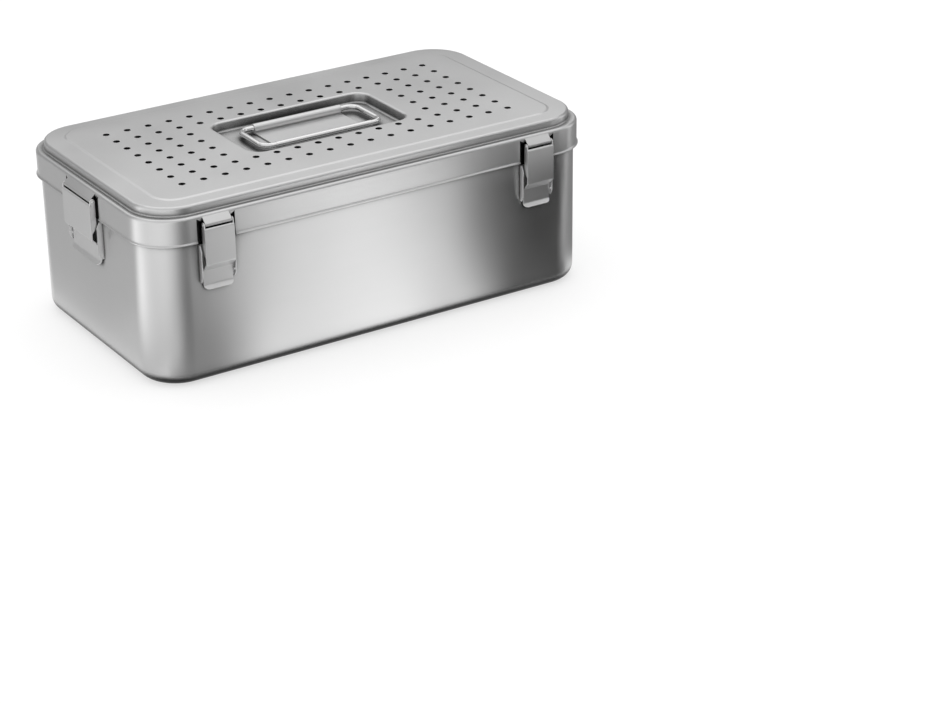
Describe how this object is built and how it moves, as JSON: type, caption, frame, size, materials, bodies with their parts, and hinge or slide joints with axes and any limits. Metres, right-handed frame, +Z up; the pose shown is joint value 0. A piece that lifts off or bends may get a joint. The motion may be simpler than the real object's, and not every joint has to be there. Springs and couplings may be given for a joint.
{
  "type": "surgical instrument sterilization container",
  "caption": "Deep steel sterilization container: perforated lid with sunk folding handle, hinged clips on all sides, gasket, and a lift-out instrument basket.",
  "frame": {"origin": "middle of the tub's flat underside", "axes": "+X along the long sides, +Y to the back, +Z up; the front is -Y"},
  "size_m": [0.5146, 0.2906, 0.182],
  "materials": {
    "sheet_steel": "satin",
    "clip_steel": "satin",
    "wire_steel": "polished",
    "silicone": "matte"
  },
  "bodies": {
    "tub": {"tub_shell": "sheet_steel", "catch_front_left": "clip_steel", "catch_front_right": "clip_steel", "catch_back_left": "clip_steel", "catch_back_right": "clip_steel", "catch_left_end": "clip_steel", "catch_right_end": "clip_steel"},
    "lid": {"lid_shell": "sheet_steel", "lid_gasket": "silicone", "pin_front_left": "wire_steel", "pin_front_right": "wire_steel", "pin_back_left": "wire_steel", "pin_back_right": "wire_steel", "pin_left_end": "wire_steel", "pin_right_end": "wire_steel", "handle_hinge_plate": "sheet_steel"},
    "handle": {"handle_bail": "wire_steel", "handle_grip": "wire_steel"},
    "basket": {"basket_tray": "sheet_steel", "basket_rim": "wire_steel", "basket_eye_left_front": "sheet_steel", "basket_eye_left_back": "sheet_steel", "basket_eye_right_front": "sheet_steel", "basket_eye_right_back": "sheet_steel"},
    "basket_handle_left": {"basket_handle_left": "wire_steel"},
    "basket_handle_right": {"basket_handle_right": "wire_steel"},
    "clip_front_left": {"clip_front_left": "clip_steel"},
    "clip_front_right": {"clip_front_right": "clip_steel"},
    "clip_back_left": {"clip_back_left": "clip_steel"},
    "clip_back_right": {"clip_back_right": "clip_steel"},
    "clip_left_end": {"clip_left_end": "clip_steel"},
    "clip_right_end": {"clip_right_end": "clip_steel"}
  },
  "joints": [
    {"name": "lid_lift", "type": "slide", "parent": "tub", "child": "lid", "axis": [0, 0, 1], "range_m": [0, 0.25]},
    {"name": "clip_front_left_hinge", "type": "hinge", "parent": "lid", "child": "clip_front_left", "pos_m": [-0.18, -0.1417, 0.1632], "axis": [-1, 0, 0], "range_deg": [0, 110]},
    {"name": "clip_front_right_hinge", "type": "hinge", "parent": "lid", "child": "clip_front_right", "pos_m": [0.18, -0.1417, 0.1632], "axis": [-1, 0, 0], "range_deg": [0, 110]},
    {"name": "clip_back_left_hinge", "type": "hinge", "parent": "lid", "child": "clip_back_left", "pos_m": [-0.18, 0.1417, 0.1632], "axis": [1, 0, 0], "range_deg": [0, 110]},
    {"name": "clip_back_right_hinge", "type": "hinge", "parent": "lid", "child": "clip_back_right", "pos_m": [0.18, 0.1417, 0.1632], "axis": [1, 0, 0], "range_deg": [0, 110]},
    {"name": "clip_left_end_hinge", "type": "hinge", "parent": "lid", "child": "clip_left_end", "pos_m": [-0.2537, 0, 0.1632], "axis": [0, 1, 0], "range_deg": [0, 110]},
    {"name": "clip_right_end_hinge", "type": "hinge", "parent": "lid", "child": "clip_right_end", "pos_m": [0.2537, 0, 0.1632], "axis": [0, -1, 0], "range_deg": [0, 110]},
    {"name": "handle_hinge", "type": "hinge", "parent": "lid", "child": "handle", "pos_m": [0, 0.025, 0.1776], "axis": [-1, 0, 0], "range_deg": [0, 90]},
    {"name": "basket_lift", "type": "slide", "parent": "tub", "child": "basket", "axis": [0, 0, 1], "range_m": [0, 0.06]},
    {"name": "basket_handle_left_hinge", "type": "hinge", "parent": "basket", "child": "basket_handle_left", "pos_m": [-0.2205, 0, 0.0612], "axis": [0, -1, 0], "range_deg": [0, 90]},
    {"name": "basket_handle_right_hinge", "type": "hinge", "parent": "basket", "child": "basket_handle_right", "pos_m": [0.2205, 0, 0.0612], "axis": [0, 1, 0], "range_deg": [0, 90]}
  ]
}
